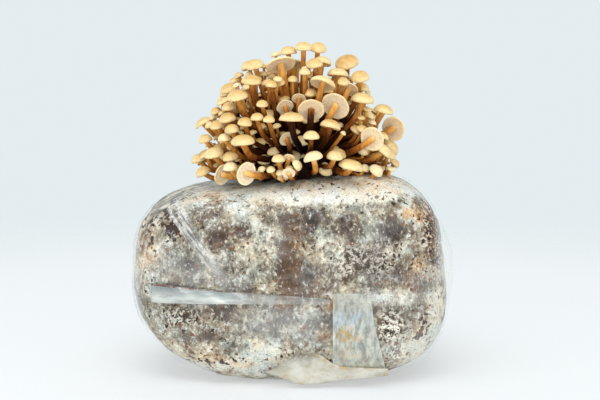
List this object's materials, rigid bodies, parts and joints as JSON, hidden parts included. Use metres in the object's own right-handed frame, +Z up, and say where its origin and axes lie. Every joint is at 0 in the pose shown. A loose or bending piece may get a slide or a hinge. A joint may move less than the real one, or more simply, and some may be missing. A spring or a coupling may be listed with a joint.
{
  "type": "golden enoki mushroom grow kit",
  "caption": "Mushroom growing kit: a mycelium-grown sawdust block in a clear bag, fruiting through the bag's top in a round bouquet of long-stemmed golden mushrooms.",
  "frame": {"origin": "middle of the flat underside that the bag rests on", "axes": "+Z up, +X to the right along the bag's width, -Y towards the viewer, the side with the seal and the tape"},
  "size_m": [0.2222, 0.1529, 0.2325],
  "materials": {
    "substrate": "sawdust grown through with white mycelium",
    "film": "clear thin crinkled film",
    "tape": "translucent packing tape",
    "stem_base": "dark velvety fungus flesh",
    "mushroom": "moist satin fungus flesh"
  },
  "bodies": {
    "root": {"substrate_block": "substrate", "bag_film": "film", "packing_tape": "tape", "cluster_base": "stem_base", "mushroom_01": "mushroom", "mushroom_02": "mushroom", "mushroom_03": "mushroom", "mushroom_04": "mushroom", "mushroom_05": "mushroom", "mushroom_06": "mushroom", "mushroom_07": "mushroom", "mushroom_08": "mushroom", "mushroom_09": "mushroom", "mushroom_10": "mushroom", "mushroom_11": "mushroom", "mushroom_12": "mushroom", "mushroom_13": "mushroom", "mushroom_14": "mushroom", "mushroom_15": "mushroom", "mushroom_16": "mushroom", "mushroom_17": "mushroom", "mushroom_18": "mushroom", "mushroom_19": "mushroom", "mushroom_20": "mushroom", "mushroom_21": "mushroom", "mushroom_22": "mushroom", "mushroom_23": "mushroom", "mushroom_24": "mushroom", "mushroom_25": "mushroom", "mushroom_26": "mushroom", "mushroom_27": "mushroom", "mushroom_28": "mushroom", "mushroom_29": "mushroom", "mushroom_30": "mushroom", "mushroom_31": "mushroom", "mushroom_32": "mushroom", "mushroom_33": "mushroom", "mushroom_34": "mushroom", "mushroom_35": "mushroom", "mushroom_36": "mushroom", "mushroom_37": "mushroom", "mushroom_38": "mushroom", "mushroom_39": "mushroom", "mushroom_40": "mushroom", "mushroom_41": "mushroom", "mushroom_42": "mushroom", "mushroom_43": "mushroom", "mushroom_44": "mushroom", "mushroom_45": "mushroom", "mushroom_46": "mushroom", "mushroom_47": "mushroom", "mushroom_48": "mushroom", "mushroom_49": "mushroom", "mushroom_50": "mushroom", "mushroom_51": "mushroom", "mushroom_52": "mushroom", "mushroom_53": "mushroom", "mushroom_54": "mushroom", "mushroom_55": "mushroom", "mushroom_56": "mushroom"}
  },
  "joints": []
}
